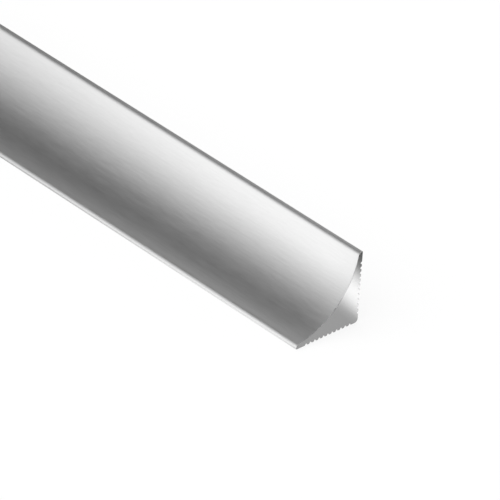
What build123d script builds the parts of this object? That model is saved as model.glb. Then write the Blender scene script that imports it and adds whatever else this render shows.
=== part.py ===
from build123d import *
import os

# Cove trim: one length of solid extruded aluminium that rounds off an inside corner, where a floor,
# worktop or bath rim meets a wall. Two legs at a right angle carry serrated bonding faces, one under
# the base and one against the wall, and a hollow round face runs between their soft-edged lips.
# X runs along the bar, Y from the front lip to the wall, Z up. The origin is the middle of the base.

# Bar, in millimetres like every size below
bar_length = 1000.0

# Legs, lips and round face of the section
base_leg = 15.0          # depth of the base, from the front lip to the wall face
wall_leg = 15.0          # height of the wall face, from the base to the top lip
front_lip = 0.95         # height of the front lip
top_lip = 0.95           # thickness of the top lip
cove_hollow = 3.5        # how far the round face dips below a straight line from lip to lip
heel_radius = 0.8        # outside corner where the base meets the wall face
lip_edge_radius = 0.7    # the two edges between the round face and a lip
bond_edge_radius = 0.1   # the two edges between a lip and its bonding face

# Serrations of the two bonding faces
lip_land = 1.9           # smooth strip between a lip and the first groove
heel_land = 1.4          # least smooth strip that is left beside the heel
groove_pitch = 1.06      # from one groove to the next
groove_depth = 0.4
groove_root = 0.1        # flat at the bottom of a groove
groove_crest = 0.42      # flat between two grooves
groove_overrun = 0.2     # how far a groove's cut runs out of the face


def groove_offsets(leg):
    """Distances of the grooves' middles from a leg's lip, as many as fit between the two lands."""
    count = int((leg - lip_land - heel_land) / groove_pitch)
    first = lip_land + groove_pitch / 2
    return [first + groove_pitch * place for place in range(count)]


def groove_section():
    """A flat-bottomed V that opens downwards, with its mouth on the local X axis."""
    half_mouth = (groove_pitch - groove_crest) / 2
    half_root = groove_root / 2
    return make_face(
        Polyline(
            (-half_mouth, -groove_overrun),
            (half_mouth, -groove_overrun),
            (half_mouth, 0),
            (half_root, groove_depth),
            (-half_root, groove_depth),
            (-half_mouth, 0),
            close=True,
        )
    )


def plain_section():
    """The legs, lips and round face, before the grooves are cut. Local X is depth, local Y is height."""
    back = base_leg / 2
    front = -back
    heel = (back, 0)
    front_foot = (front, 0)
    front_edge = (front, front_lip)
    top_edge = (back - top_lip, wall_leg)
    top_corner = (back, wall_leg)

    legs = Polyline(top_edge, top_corner, heel, front_foot, front_edge)
    cove = SagittaArc(front_edge, top_edge, -cove_hollow)
    section = make_face(legs + cove)

    rounded_corners = (
        ((heel,), heel_radius),
        ((front_edge, top_edge), lip_edge_radius),
        ((front_foot, top_corner), bond_edge_radius),
    )
    for places, radius in rounded_corners:
        corners = [section.vertices().sort_by_distance(place)[0] for place in places]
        section = fillet(corners, radius)
    return section


def serrated_section():
    """The whole section: the plain one with a row of grooves in each bonding face."""
    back = base_leg / 2
    groove = groove_section()
    base_grooves = [Pos(offset - back, 0) * groove for offset in groove_offsets(base_leg)]
    wall_grooves = [
        Pos(back, wall_leg - offset) * Rot(0, 0, 90) * groove for offset in groove_offsets(wall_leg)
    ]
    return plain_section() - base_grooves - wall_grooves


# The bar, extruded to both sides of its middle
cove_profile = extrude(Plane.YZ * serrated_section(), bar_length / 2, both=True)
cove_profile.label = "cove_profile"

os.makedirs("parts", exist_ok=True)
export_step(cove_profile, "parts/cove_profile.step")
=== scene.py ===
import math

import bpy
from mathutils import Matrix, Vector


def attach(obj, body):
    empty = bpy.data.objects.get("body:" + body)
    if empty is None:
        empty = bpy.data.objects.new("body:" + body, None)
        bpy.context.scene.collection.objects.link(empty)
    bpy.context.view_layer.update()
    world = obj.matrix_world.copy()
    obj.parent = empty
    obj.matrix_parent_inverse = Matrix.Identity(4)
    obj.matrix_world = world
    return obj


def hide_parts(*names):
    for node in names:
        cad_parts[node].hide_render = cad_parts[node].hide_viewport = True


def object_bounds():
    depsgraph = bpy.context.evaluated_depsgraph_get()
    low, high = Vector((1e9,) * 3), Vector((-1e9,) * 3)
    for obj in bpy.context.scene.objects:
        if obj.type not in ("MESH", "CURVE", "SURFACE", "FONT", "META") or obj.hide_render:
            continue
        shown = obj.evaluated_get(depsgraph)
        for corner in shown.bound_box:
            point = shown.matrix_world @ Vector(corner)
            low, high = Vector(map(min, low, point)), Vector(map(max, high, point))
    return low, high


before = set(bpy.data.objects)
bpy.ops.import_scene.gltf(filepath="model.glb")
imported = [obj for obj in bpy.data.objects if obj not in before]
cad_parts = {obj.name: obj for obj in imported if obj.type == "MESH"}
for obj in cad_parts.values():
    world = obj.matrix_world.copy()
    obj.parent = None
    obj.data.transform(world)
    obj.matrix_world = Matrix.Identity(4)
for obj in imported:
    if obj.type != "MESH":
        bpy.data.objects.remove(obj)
cad_low, cad_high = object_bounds()

MM = 0.001
WHITE = "#FFFFFF"

# Section of the trim, in millimetres, as it was extruded
BASE_LEG = 15.0
WALL_LEG = 15.0
FRONT_LIP = 0.95
TOP_LIP = 0.95
COVE_HOLLOW = 3.5
HEEL_RADIUS = 0.8
LIP_EDGE_RADIUS = 0.7
BOND_EDGE_RADIUS = 0.1
LIP_LAND = 1.9
HEEL_LAND = 1.4
GROOVE_PITCH = 1.06
GROOVE_DEPTH = 0.4
GROOVE_ROOT = 0.1
GROOVE_CREST = 0.42

# Bar
BAR_LENGTH = (cad_high.x - cad_low.x) / MM
NEAR_END_X = cad_high.x
CUT_BREAK = 0.05         # millimetres that a file takes off the edge of a sawn end

# How finely the bar is meshed
COVE_STEPS = 56
EDGE_STEPS = 8
HEEL_STEPS = 8
RING_SPACING = 10.0      # millimetres between two rings along the bar
SMOOTH_ANGLE = math.radians(24)

# Map for baking, in shares of its side: the bar's outside is unrolled below, the two ends lie above
BAKE_MARGIN = 0.01
BAKE_FILED = 0.008
BAKE_WRAP_TOP = 0.82
BAKE_END_FOOT = 0.84
BAKE_END_SIDE = 0.15

# Places of the three finishes among the bar's materials
SKIN, SAWN, FILED = 0, 1, 2

# Marks of the metal, in millimetres, all drawn coarser and deeper than they are, so that they show
BRUSH_LENGTH, BRUSH_WIDTH = 3.5, 0.45
DIE_LINE_LENGTH, DIE_LINE_WIDTH = 500.0, 0.5
SKIN_MARK_HEIGHT = 0.016
SAW_LENGTH, SAW_WIDTH = 20.0, 0.25
SAW_MARK_HEIGHT = 0.001
BURR_LENGTH = 2.8        # size of the bright and rough stretches along a filed edge
DIE_LINE_SHARE = 0.4     # how strong the die's lines are beside the brushing
MARK_DETAIL = 3.0        # how many times finer marks are laid over the coarse ones
MARK_FINENESS = 0.6      # how strong each is beside the next coarser one

# Finishes: for each its grey, its roughness, and the two values of its marks that this runs between
SKIN_GREYS = "#E2E2E2", "#EAEAEA"
SKIN_ROUGHNESS = 0.29, 0.41
SKIN_MARKS = 0.4, 1.0
BARE_GREY = "#E6E6E6"
SAWN_ROUGHNESS = 0.18, 0.22
SAWN_MARKS = 0.3, 0.7
FILED_ROUGHNESS = 0.15, 0.8
FILED_MARKS = 0.45, 0.55

# Skin that handling and filing rubbed, in millimetres
LIP_RUB_CORE = 0.35      # how far from a lip's edge it is dullest
LIP_RUB_REACH = 0.8      # how far from a lip's edge it ends
END_RUB_REACH = 6.0      # how far from a cut end it ends
END_RUB_SHARE = 0.4      # how strong it is at a cut end, beside a lip
RUB_DULL = 0.18          # roughness that it adds

# The photograph's camera, aimed past the near end of the bar
VIEW_AZIMUTH = 45.81
VIEW_ELEVATION = 32.35
VIEW_ROLL = 3.74         # degrees that the upright leans to the right
VIEW_DISTANCE = 991.7    # millimetres to the point aimed at
VIEW_LENS = 399.8
SENSOR_WIDTH = 36.0
AIM_FROM_END = Vector((-15.79, -5.19, 12.16))
CLIP_NEAR, CLIP_FAR = 0.05, 200.0  # metres

# Floor, world and lamp
FLOOR_HALF = 60.0        # metres
FLOOR_WHITE = "#FCFCFC"
FLOOR_GLOW_SHARE = 0.8   # share of the floor's white that no shadow takes away
DOME_STRENGTH = 0.72
KEY_STRENGTH = 1.25
KEY_ANGLE = math.radians(80)
KEY_AZIMUTH = -20.0
KEY_ELEVATION = 62.0
# Height above the horizon, as the sine of its angle, and how bright the studio is there
STUDIO_TONES = ((0.0, 1.0), (0.5, 0.45), (0.8, 0.22), (1.0, 0.20))

# Light tent along the bar, seen only in the metal: half a pipe, and the table under it on both sides
TENT_RADIUS = 160.0      # millimetres, like every size below
TENT_GAP_BEFORE = 1.5    # bare floor between the bar's front lip and the tent's table
TENT_GAP_BEHIND = 18.0   # the same behind the bar's wall face
TENT_PAST_END = 150.0
TENT_STEPS = 48
# Share of the way over the tent, from the table before the bar to the table behind it, and its brightness
TENT_TONES = (
    (0.0, 1.055), (0.03, 1.37), (0.08, 1.13), (0.36, 0.29), (0.44, 0.181), (0.5, 0.13), (0.58, 0.215),
    (0.69, 0.5), (0.84, 0.185), (1.0, 0.3)
)
# Share of the tent's light that is left at two places back along the bar, measured from the near end
TENT_BRIGHT_AT, TENT_BRIGHT_SHARE = -68.0, 1.16
TENT_DIM_AT, TENT_DIM_SHARE = -250.0, 0.60

# Cards on the floor, seen only in the metal
CARD_LIFT = 0.03         # height above the floor
# The one beside the cut end: how far behind the bar's middle, and its brightness
END_CARD_TONES = (
    (6.2, 0.405), (7.8, 0.49), (10.8, 1.13), (12.5, 1.28), (13.8, 1.24), (15.2, 1.03), (16.6, 0.71),
    (18.3, 0.19), (19.2, 0.07), (20.0, 0.1)
)
END_CARD_LEAN = math.radians(8)  # how far its grading turns from the bar's depth
END_CARD_REACH = 60.0    # from the bar's end and to each side
# The one before the front lip: how far from the near end, and its brightness
LIP_CARD_TONES = ((-90.0, 0.66), (-40.0, 0.92), (0.0, 1.02))
# The same for the strip of floor that the lip itself shades
CONTACT_TONES = ((-90.0, 0.45), (-60.0, 0.62), (-30.0, 0.92), (-5.0, 0.98), (0.0, 0.75))
CONTACT_WIDTH = 0.4

# Dark flags past the cut end, which only its filed edge mirrors: one lying and two upright
FLAG_BLACK = "#303030"
FLAG_START, FLAG_REACH = 20.0, 150.0  # how far past the end the lying one starts, and all reach
FLAG_SIDE = -15.0        # the lying one's edge, from the bar's middle
FLAG_LIFT = 1.0          # how far the lying one is above the end card
LOW_FLAG = 0.0, 20.0     # foot and top of an upright one
HIGH_FLAG = 75.0, 100.0


def linear(hex_colour):
    """An sRGB hex colour as linear red, green, blue and alpha."""
    shares = [int(hex_colour[place:place + 2], 16) / 255 for place in (1, 3, 5)]
    return [s / 12.92 if s <= 0.04045 else ((s + 0.055) / 1.055) ** 2.4 for s in shares] + [1.0]


def add_node(tree, kind, inputs=None, **settings):
    """Adds a node, sets its own settings, and gives each input, by name or number, a value or a link."""
    made = tree.nodes.new(kind)
    for name, value in settings.items():
        setattr(made, name, value)
    for name, value in (inputs or {}).items():
        if isinstance(value, bpy.types.NodeSocket):
            tree.links.new(value, made.inputs[name])
        else:
            made.inputs[name].default_value = value
    return made


def new_material(name):
    """An empty material and its node tree."""
    material = bpy.data.materials.new(name)
    material.use_nodes = True
    material.node_tree.nodes.clear()
    return material, material.node_tree


def link(thing):
    """Puts an object into the scene."""
    bpy.context.scene.collection.objects.link(thing)
    return thing


# Section of the bar


def arc(centre, start, end, steps):
    """Points of the arc about a centre from one point to another, the short way round."""
    spoke = start - centre
    turn = -spoke.angle_signed(end - centre)
    return [centre + Matrix.Rotation(turn * step / steps, 2) @ spoke for step in range(steps + 1)]


def rounded(before, corner, after, radius, steps):
    """Points of the arc that rounds the corner between two straight stretches."""
    to_before = (before - corner).normalized()
    to_after = (after - corner).normalized()
    opening = to_before.angle(to_after)
    trim = radius / math.tan(opening / 2)
    centre = corner + (to_before + to_after).normalized() * (radius / math.sin(opening / 2))
    return arc(centre, corner + to_before * trim, corner + to_after * trim, steps)


def serrations(leg, lip_to_heel):
    """Groove points of one bonding face, as pairs of distance from the lip and depth below the face."""
    count = int((leg - LIP_LAND - HEEL_LAND) / GROOVE_PITCH)
    half_mouth = (GROOVE_PITCH - GROOVE_CREST) / 2
    half_root = GROOVE_ROOT / 2
    points = []
    for place in range(count):
        middle = LIP_LAND + GROOVE_PITCH * (place + 0.5)
        points += [
            (middle - half_mouth, 0.0),
            (middle - half_root, GROOVE_DEPTH),
            (middle + half_root, GROOVE_DEPTH),
            (middle + half_mouth, 0.0),
        ]
    return points if lip_to_heel else points[::-1]


def cove_points(top_edge, front_edge):
    """The hollow round face with its two rounded edges, from the top lip down to the front lip."""
    chord = front_edge - top_edge
    radius = ((chord.length / 2) ** 2 + COVE_HOLLOW ** 2) / (2 * COVE_HOLLOW)
    outward = Vector((chord.y, -chord.x)).normalized()
    centre = top_edge + chord / 2 + outward * (radius - COVE_HOLLOW)

    edge = LIP_EDGE_RADIUS
    top_height, front_depth = top_edge.y - edge, front_edge.x + edge
    top_depth = centre.x + math.sqrt((radius + edge) ** 2 - (top_height - centre.y) ** 2)
    front_height = centre.y - math.sqrt((radius + edge) ** 2 - (front_depth - centre.x) ** 2)
    top_middle = Vector((top_depth, top_height))
    front_middle = Vector((front_depth, front_height))
    cove_top = top_middle + (centre - top_middle).normalized() * edge
    cove_front = front_middle + (centre - front_middle).normalized() * edge

    points = arc(top_middle, top_middle + Vector((0.0, edge)), cove_top, EDGE_STEPS)
    points += arc(centre, cove_top, cove_front, COVE_STEPS)[1:-1]
    points += arc(front_middle, cove_front, front_middle - Vector((edge, 0.0)), EDGE_STEPS)
    return points


def section_points():
    """The section's outline in millimetres, as depth and height, anticlockwise seen from the near end."""
    back = BASE_LEG / 2
    front = -back
    front_foot = Vector((front, 0.0))
    front_edge = Vector((front, FRONT_LIP))
    top_edge = Vector((back - TOP_LIP, WALL_LEG))
    top_corner = Vector((back, WALL_LEG))
    heel = Vector((back, 0.0))

    base = [Vector((front + along, depth)) for along, depth in serrations(BASE_LEG, True)]
    wall = [Vector((back - depth, WALL_LEG - along)) for along, depth in serrations(WALL_LEG, False)]
    points = rounded(front_edge, front_foot, heel, BOND_EDGE_RADIUS, EDGE_STEPS)
    points += base
    points += rounded(front_foot, heel, top_corner, HEEL_RADIUS, HEEL_STEPS)
    points += wall
    points += rounded(heel, top_corner, top_edge, BOND_EDGE_RADIUS, EDGE_STEPS)
    points += cove_points(top_edge, front_edge)
    return points


def inset(points, distance):
    """The outline moved into the metal by a small distance, point for point."""
    moved = []
    for place, point in enumerate(points):
        before = (point - points[place - 1]).normalized()
        after = (points[(place + 1) % len(points)] - point).normalized()
        inward = Vector((-before.y - after.y, before.x + after.x)).normalized()
        slant = inward.dot(Vector((-before.y, before.x)))
        moved.append(point + inward * (distance / slant))
    return moved


# Bar


def bar_rings():
    """Rings along the bar, each as its place on X, its outline and its place across the map for baking."""
    outline = section_points()
    filed = inset(outline, CUT_BREAK)
    half = BAR_LENGTH / 2
    body_half = half - CUT_BREAK
    spans = round(2 * body_half / RING_SPACING)
    left, right = BAKE_MARGIN + BAKE_FILED, 1 - BAKE_MARGIN - BAKE_FILED
    rings = [(-half, filed, BAKE_MARGIN)]
    for span in range(spans + 1):
        way = span / spans
        rings.append((body_half * (2 * way - 1), outline, left + (right - left) * way))
    rings.append((half, filed, 1 - BAKE_MARGIN))
    return rings


def unrolled(outline):
    """Share of the way round the outline at each of its points, and 1 where it closes."""
    lengths = [(outline[place] - outline[place - 1]).length for place in range(1, len(outline))]
    lengths.append((outline[0] - outline[-1]).length)
    shares = [0.0]
    for length in lengths:
        shares.append(shares[-1] + length / sum(lengths))
    return shares


def bar_mesh():
    """The whole bar: rings of the section along X, and a sawn face with a filed edge at each end."""
    rings = bar_rings()
    last = len(rings) - 1
    filed, outline = rings[0][1], rings[1][1]
    count = len(outline)
    rise = [BAKE_MARGIN + (BAKE_WRAP_TOP - BAKE_MARGIN) * share for share in unrolled(outline)]

    vertices = [(x * MM, point.x * MM, point.y * MM) for x, points, across in rings for point in points]
    faces, corners, finishes = [], [], []
    for ring in range(last):
        low, high = ring * count, (ring + 1) * count
        left, right = rings[ring][2], rings[ring + 1][2]
        finishes += [FILED if ring in (0, last - 1) else SKIN] * count
        for place in range(count):
            following = (place + 1) % count
            faces.append((low + place, low + following, high + following, high + place))
            corners += [(left, rise[place]), (left, rise[place + 1])]
            corners += [(right, rise[place + 1]), (right, rise[place])]
    far_end = (0, -1, BAKE_MARGIN)
    near_end = (last * count, 1, 2 * BAKE_MARGIN + BAKE_END_SIDE)
    for first, order, shift in (far_end, near_end):
        places = list(range(count))[::order]
        faces.append(tuple(first + place for place in places))
        finishes.append(SAWN)
        for place in places:
            depth, height = filed[place].x / BASE_LEG + 0.5, filed[place].y / WALL_LEG
            corners.append((shift + BAKE_END_SIDE * depth, BAKE_END_FOOT + BAKE_END_SIDE * height))

    mesh = bpy.data.meshes.new("cove_trim_bar")
    mesh.from_pydata(vertices, [], faces)
    layer = mesh.uv_layers.new(name="OFBake")
    layer.uv.foreach_set("vector", [value for corner in corners for value in corner])
    mesh.polygons.foreach_set("use_smooth", [True] * len(faces))
    mesh.polygons.foreach_set("material_index", finishes)
    mesh.set_sharp_from_angle(angle=SMOOTH_ANGLE)
    mesh.validate()
    return mesh


# Finishes of the bar


def marks(tree, place, sizes):
    """Fine marks, as a value round one half: noise with the given sizes in millimetres along X, Y and Z."""
    scale = [1 / (size * MM) for size in sizes]
    stretched = add_node(tree, "ShaderNodeMapping", {"Vector": place.outputs["Object"], "Scale": scale})
    noise = add_node(
        tree,
        "ShaderNodeTexNoise",
        {
            "Vector": stretched.outputs["Vector"],
            "Scale": 1.0,
            "Detail": MARK_DETAIL,
            "Roughness": MARK_FINENESS,
        },
    )
    return noise.outputs["Fac"]


def rubbing(tree, place):
    """How rubbed the skin is: one along the edges of both lips, less at the cut ends, zero elsewhere."""
    across = add_node(
        tree, "ShaderNodeMapping", {"Vector": place.outputs["Object"], "Scale": (0.0, 1.0, 1.0)}
    )
    distances = []
    for depth, height in ((-BASE_LEG / 2, FRONT_LIP), (BASE_LEG / 2 - TOP_LIP, WALL_LEG)):
        away = add_node(
            tree,
            "ShaderNodeVectorMath",
            {0: across.outputs["Vector"], 1: (0.0, depth * MM, height * MM)},
            operation="DISTANCE",
        )
        distances.append(away.outputs["Value"])
    nearer = add_node(tree, "ShaderNodeMath", {0: distances[0], 1: distances[1]}, operation="MINIMUM")
    lips = add_node(
        tree,
        "ShaderNodeMapRange",
        {
            "Value": nearer.outputs[0],
            "From Min": LIP_RUB_CORE * MM,
            "From Max": LIP_RUB_REACH * MM,
            "To Min": 1.0,
            "To Max": 0.0,
        },
    )

    axes = add_node(tree, "ShaderNodeSeparateXYZ", {"Vector": place.outputs["Object"]})
    along = add_node(tree, "ShaderNodeMath", {0: axes.outputs["X"]}, operation="ABSOLUTE")
    half = BAR_LENGTH / 2
    ends = add_node(
        tree,
        "ShaderNodeMapRange",
        {
            "Value": along.outputs[0],
            "From Min": (half - END_RUB_REACH) * MM,
            "From Max": half * MM,
            "To Min": 0.0,
            "To Max": END_RUB_SHARE,
        },
    )
    rub = add_node(
        tree,
        "ShaderNodeMath",
        {0: lips.outputs["Result"], 1: ends.outputs["Result"]},
        operation="MAXIMUM",
    )
    return rub.outputs[0]


def anodised_aluminium():
    """Satin silver anodised aluminium, extruded: an even grey metal with soft, wide reflections, long faint
    lines that the die drew, short dashes from the brushing before the bath, and duller lips and ends."""
    material, tree = new_material("anodised_aluminium")
    place = add_node(tree, "ShaderNodeTexCoord")
    brushing = marks(tree, place, (BRUSH_LENGTH, BRUSH_WIDTH, BRUSH_WIDTH))
    die_lines = marks(tree, place, (DIE_LINE_LENGTH, DIE_LINE_WIDTH, DIE_LINE_WIDTH))
    both = add_node(
        tree, "ShaderNodeMath", {0: die_lines, 1: DIE_LINE_SHARE, 2: brushing}, operation="MULTIPLY_ADD"
    )
    level = add_node(
        tree,
        "ShaderNodeMapRange",
        {"Value": both.outputs[0], "From Min": SKIN_MARKS[0], "From Max": SKIN_MARKS[1]},
    )
    shade = add_node(
        tree,
        "ShaderNodeMix",
        {"Factor": level.outputs["Result"], 6: linear(SKIN_GREYS[0]), 7: linear(SKIN_GREYS[1])},
        data_type="RGBA",
    )
    satin = add_node(
        tree,
        "ShaderNodeMapRange",
        {"Value": level.outputs["Result"], "To Min": SKIN_ROUGHNESS[0], "To Max": SKIN_ROUGHNESS[1]},
    )
    dulled = add_node(
        tree,
        "ShaderNodeMath",
        {0: rubbing(tree, place), 1: RUB_DULL, 2: satin.outputs["Result"]},
        operation="MULTIPLY_ADD",
    )
    relief = add_node(
        tree,
        "ShaderNodeBump",
        {"Height": both.outputs[0], "Strength": 1.0, "Distance": SKIN_MARK_HEIGHT * MM},
    )
    metal = add_node(
        tree,
        "ShaderNodeBsdfPrincipled",
        {
            "Base Color": shade.outputs[2],
            "Metallic": 1.0,
            "Roughness": dulled.outputs[0],
            "Normal": relief.outputs["Normal"],
        },
    )
    add_node(tree, "ShaderNodeOutputMaterial", {"Surface": metal.outputs["BSDF"]})
    return material


def sawn_aluminium():
    """Bare sawn aluminium at the cut ends: the same grey metal, smoother, with fine marks of the blade."""
    material, tree = new_material("sawn_aluminium")
    place = add_node(tree, "ShaderNodeTexCoord")
    blade = marks(tree, place, (SAW_LENGTH, SAW_LENGTH, SAW_WIDTH))
    polish = add_node(
        tree,
        "ShaderNodeMapRange",
        {
            "Value": blade,
            "From Min": SAWN_MARKS[0],
            "From Max": SAWN_MARKS[1],
            "To Min": SAWN_ROUGHNESS[0],
            "To Max": SAWN_ROUGHNESS[1],
        },
    )
    relief = add_node(
        tree, "ShaderNodeBump", {"Height": blade, "Strength": 1.0, "Distance": SAW_MARK_HEIGHT * MM}
    )
    metal = add_node(
        tree,
        "ShaderNodeBsdfPrincipled",
        {
            "Base Color": linear(BARE_GREY),
            "Metallic": 1.0,
            "Roughness": polish.outputs["Result"],
            "Normal": relief.outputs["Normal"],
        },
    )
    add_node(tree, "ShaderNodeOutputMaterial", {"Surface": metal.outputs["BSDF"]})
    return material


def filed_aluminium():
    """The filed edge of a cut end: the same bare metal, bright in some stretches and rough in others, where
    the saw's burr came off unevenly, so that it shows as a broken thin line."""
    material, tree = new_material("filed_aluminium")
    place = add_node(tree, "ShaderNodeTexCoord")
    burr = marks(tree, place, (BURR_LENGTH, BURR_LENGTH, BURR_LENGTH))
    polish = add_node(
        tree,
        "ShaderNodeMapRange",
        {
            "Value": burr,
            "From Min": FILED_MARKS[0],
            "From Max": FILED_MARKS[1],
            "To Min": FILED_ROUGHNESS[0],
            "To Max": FILED_ROUGHNESS[1],
        },
    )
    metal = add_node(
        tree,
        "ShaderNodeBsdfPrincipled",
        {"Base Color": linear(BARE_GREY), "Metallic": 1.0, "Roughness": polish.outputs["Result"]},
    )
    add_node(tree, "ShaderNodeOutputMaterial", {"Surface": metal.outputs["BSDF"]})
    return material


# Studio


def seen_rays(tree):
    """One for rays that show the studio: the camera's own, and those that metal or glass sends on."""
    path = add_node(tree, "ShaderNodeLightPath")
    straight = add_node(
        tree,
        "ShaderNodeMath",
        {0: path.outputs["Is Camera Ray"], 1: path.outputs["Is Glossy Ray"]},
        operation="MAXIMUM",
    )
    either = add_node(
        tree,
        "ShaderNodeMath",
        {0: straight.outputs[0], 1: path.outputs["Is Transmission Ray"]},
        operation="MAXIMUM",
    )
    return either.outputs[0]


def graded(tree, value, tones, unit=1.0):
    """Grey that follows a value, through pairs of place and brightness."""
    first, last = tones[0][0], tones[-1][0]
    along = add_node(
        tree, "ShaderNodeMapRange", {"Value": value, "From Min": first * unit, "From Max": last * unit}
    )
    ramp = add_node(tree, "ShaderNodeValToRGB", {"Fac": along.outputs["Result"]})
    stops = ramp.color_ramp.elements
    while len(stops) < len(tones):
        stops.new(1.0)
    for stop, (place, tone) in zip(stops, tones):
        stop.position = (place - first) / (last - first)
        stop.color = (tone, tone, tone, 1.0)
    return ramp.outputs["Color"]


def direction(azimuth, elevation):
    """Unit vector from the object towards a place at that azimuth and elevation, in degrees."""
    a, e = math.radians(azimuth), math.radians(elevation)
    return Vector((math.sin(a) * math.cos(e), -math.cos(a) * math.cos(e), math.sin(e)))


def white_floor():
    """Matt white studio floor, part of whose white is its own where it is seen, so that it stays white and
    keeps a faint shadow."""
    material, tree = new_material("white_floor")
    matt = add_node(tree, "ShaderNodeBsdfDiffuse", {"Color": linear(FLOOR_WHITE)})
    glow = add_node(tree, "ShaderNodeEmission", {"Color": linear(WHITE), "Strength": 1.0})
    share = add_node(
        tree, "ShaderNodeMath", {0: seen_rays(tree), 1: FLOOR_GLOW_SHARE}, operation="MULTIPLY"
    )
    mixed = add_node(
        tree,
        "ShaderNodeMixShader",
        {0: share.outputs[0], 1: matt.outputs["BSDF"], 2: glow.outputs["Emission"]},
    )
    add_node(tree, "ShaderNodeOutputMaterial", {"Surface": mixed.outputs["Shader"]})
    return material


def make_floor():
    """A wide plain floor under the bar."""
    signs = ((-1, -1), (1, -1), (1, 1), (-1, 1))
    corners = [(x * FLOOR_HALF, y * FLOOR_HALF, cad_low.z) for x, y in signs]
    mesh = bpy.data.meshes.new("studio_floor")
    mesh.from_pydata(corners, [], [(0, 1, 2, 3)])
    mesh.materials.append(white_floor())
    floor = link(bpy.data.objects.new("studio_floor", mesh))


def make_world():
    """A pale studio: white at the horizon and darker overhead for metal, and even for matt surfaces."""
    world = bpy.data.worlds.new("studio")
    world.use_nodes = True
    bpy.context.scene.world = world
    tree = world.node_tree
    tree.nodes.clear()
    look = add_node(tree, "ShaderNodeTexCoord")
    axes = add_node(tree, "ShaderNodeSeparateXYZ", {"Vector": look.outputs["Generated"]})
    grey = graded(tree, axes.outputs["Z"], STUDIO_TONES)
    seen = add_node(tree, "ShaderNodeBackground", {"Color": grey, "Strength": 1.0})
    even = add_node(tree, "ShaderNodeBackground", {"Color": linear(WHITE), "Strength": DOME_STRENGTH})
    mixed = add_node(
        tree,
        "ShaderNodeMixShader",
        {0: seen_rays(tree), 1: even.outputs["Background"], 2: seen.outputs["Background"]},
    )
    add_node(tree, "ShaderNodeOutputWorld", {"Surface": mixed.outputs["Shader"]})


def only_in_metal(thing):
    """Hides a stage piece from everything but reflections."""
    thing.visible_camera = False
    thing.visible_diffuse = False
    thing.visible_shadow = False


def graded_paper(towards, tones):
    """Lit paper whose grey changes one way, through pairs of place in millimetres and brightness."""
    material, tree = new_material("graded_paper")
    place = add_node(tree, "ShaderNodeTexCoord")
    along = add_node(
        tree, "ShaderNodeVectorMath", {0: place.outputs["Object"], 1: towards}, operation="DOT_PRODUCT"
    )
    grey = graded(tree, along.outputs["Value"], tones, MM)
    glow = add_node(tree, "ShaderNodeEmission", {"Color": grey, "Strength": 1.0})
    add_node(tree, "ShaderNodeOutputMaterial", {"Surface": glow.outputs["Emission"]})
    return material


def black_paper():
    """Black paper with the little light that it gives back, the same all over."""
    material, tree = new_material("black_paper")
    glow = add_node(tree, "ShaderNodeEmission", {"Color": linear(FLAG_BLACK), "Strength": 1.0})
    add_node(tree, "ShaderNodeOutputMaterial", {"Surface": glow.outputs["Emission"]})
    return material


def lying(low, high, lift=0.0):
    """The corners of a card that lies between two opposite ones, each given as X and Y."""
    places = (low, (high[0], low[1]), high, (low[0], high[1]))
    return [(x, y, lift) for x, y in places]


def upright(place, half_width, foot, top):
    """The corners of a card that stands across the bar's line, that far past its end."""
    sides = ((-half_width, foot), (half_width, foot), (half_width, top), (-half_width, top))
    return [(place, side, height) for side, height in sides]


def make_card(name, corners, paper):
    """A card with four corners, in millimetres from the middle of the bar's near end."""
    mesh = bpy.data.meshes.new(name)
    mesh.from_pydata([(x * MM, y * MM, z * MM) for x, y, z in corners], [], [(0, 1, 2, 3)])
    mesh.materials.append(paper)
    card = link(bpy.data.objects.new(name, mesh))
    card.location = (NEAR_END_X, 0.0, cad_low.z + CARD_LIFT * MM)
    only_in_metal(card)


def make_cards():
    """The graded cards beside the cut end and before the front lip, and the dark flags past the end."""
    along_bar = (1.0, 0.0, 0.0)
    into_depth = (-math.sin(END_CARD_LEAN), math.cos(END_CARD_LEAN), 0.0)
    lip = -BASE_LEG / 2
    shaded = lip - CONTACT_WIDTH
    far = -BAR_LENGTH
    end_card = lying((0.0, -END_CARD_REACH), (END_CARD_REACH, END_CARD_REACH))
    lip_card = lying((far, lip - TENT_GAP_BEFORE), (0.0, shaded))
    contact_card = lying((far, shaded), (0.0, lip))
    make_card("end_card", end_card, graded_paper(into_depth, END_CARD_TONES))
    make_card("lip_card", lip_card, graded_paper(along_bar, LIP_CARD_TONES))
    make_card("contact_card", contact_card, graded_paper(along_bar, CONTACT_TONES))

    black = black_paper()
    make_card("floor_flag", lying((FLAG_START, -FLAG_REACH), (FLAG_REACH, FLAG_SIDE), FLAG_LIFT), black)
    make_card("low_flag", upright(FLAG_REACH, FLAG_REACH, *LOW_FLAG), black)
    make_card("high_flag", upright(FLAG_REACH, FLAG_REACH, *HIGH_FLAG), black)


def tent_cloth():
    """Lit cloth of the tent: bright at the table before the bar, dark overhead, and dimmer along the bar."""
    material, tree = new_material("tent_cloth")
    place = add_node(tree, "ShaderNodeTexCoord")
    axes = add_node(tree, "ShaderNodeSeparateXYZ", {"Vector": place.outputs["Object"]})
    forwards = add_node(tree, "ShaderNodeMath", {0: axes.outputs["Y"], 1: -1.0}, operation="MULTIPLY")
    turn = add_node(
        tree, "ShaderNodeMath", {0: axes.outputs["Z"], 1: forwards.outputs[0]}, operation="ARCTAN2"
    )
    grey = graded(tree, turn.outputs[0], TENT_TONES, math.pi)
    left = add_node(
        tree,
        "ShaderNodeMapRange",
        {
            "Value": axes.outputs["X"],
            "From Min": TENT_DIM_AT * MM,
            "From Max": TENT_BRIGHT_AT * MM,
            "To Min": TENT_DIM_SHARE,
            "To Max": TENT_BRIGHT_SHARE,
        },
    )
    glow = add_node(tree, "ShaderNodeEmission", {"Color": grey, "Strength": left.outputs["Result"]})
    add_node(tree, "ShaderNodeOutputMaterial", {"Surface": glow.outputs["Emission"]})
    return material


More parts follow.
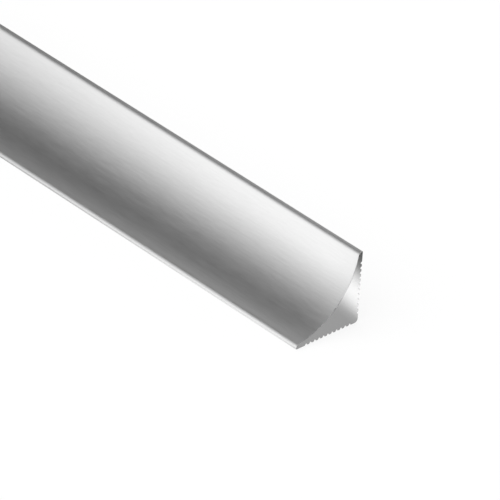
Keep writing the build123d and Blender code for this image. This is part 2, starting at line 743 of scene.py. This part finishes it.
def make_tent():
    """Half a pipe of cloth over the bar, with its table, as photographers put round shiny things."""
    start, end = -BAR_LENGTH - TENT_PAST_END, TENT_PAST_END
    arch = []
    for step in range(TENT_STEPS + 1):
        turn = math.pi * step / TENT_STEPS
        arch.append((-TENT_RADIUS * math.cos(turn), CARD_LIFT + TENT_RADIUS * math.sin(turn)))
    vertices = [(x * MM, y * MM, z * MM) for y, z in arch for x in (start, end)]
    faces = [(2 * step, 2 * step + 1, 2 * step + 3, 2 * step + 2) for step in range(TENT_STEPS)]
    for side, gap in ((-1, TENT_GAP_BEFORE), (1, TENT_GAP_BEHIND)):
        first = len(vertices)
        inner, outer = side * (BASE_LEG / 2 + gap), side * TENT_RADIUS
        vertices += [(x * MM, y * MM, CARD_LIFT * MM) for y in (outer, inner) for x in (start, 0.0)]
        faces.append((first, first + 1, first + 3, first + 2))
    mesh = bpy.data.meshes.new("light_tent")
    mesh.from_pydata(vertices, [], faces)
    mesh.materials.append(tent_cloth())
    tent = link(bpy.data.objects.new("light_tent", mesh))
    tent.location = (NEAR_END_X, 0.0, cad_low.z)
    only_in_metal(tent)


def make_key():
    """One wide soft lamp from above, which the metal doesn't show."""
    lamp = bpy.data.lights.new("soft_key", "SUN")
    lamp.energy = KEY_STRENGTH
    lamp.angle = KEY_ANGLE
    key = link(bpy.data.objects.new("soft_key", lamp))
    key.rotation_mode = "QUATERNION"
    key.rotation_quaternion = direction(KEY_AZIMUTH, KEY_ELEVATION).to_track_quat("Z", "Y")
    key.visible_glossy = False


def make_camera():
    """The photograph's view: far off, with a long lens, and rolled a little."""
    data = bpy.data.cameras.new("photo_view")
    data.lens = VIEW_LENS
    data.sensor_width = SENSOR_WIDTH
    data.clip_start, data.clip_end = CLIP_NEAR, CLIP_FAR
    camera = link(bpy.data.objects.new("photo_view", data))
    back = direction(VIEW_AZIMUTH, VIEW_ELEVATION)
    aim = Vector((NEAR_END_X, 0.0, 0.0)) + AIM_FROM_END * MM
    level = back.to_track_quat("Z", "Y").to_matrix()
    rolled = level @ Matrix.Rotation(math.radians(VIEW_ROLL), 3, "Z")
    camera.matrix_world = Matrix.Translation(aim + back * VIEW_DISTANCE * MM) @ rolled.to_4x4()
    bpy.context.scene.camera = camera


bar = link(bpy.data.objects.new("cove_trim", bar_mesh()))
bar.data.materials.append(anodised_aluminium())
bar.data.materials.append(sawn_aluminium())
bar.data.materials.append(filed_aluminium())
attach(bar, "root")
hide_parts("cove_profile")

make_floor()
make_world()
make_cards()
make_tent()
make_key()
make_camera()
bpy.context.scene.view_settings.view_transform = "Standard"
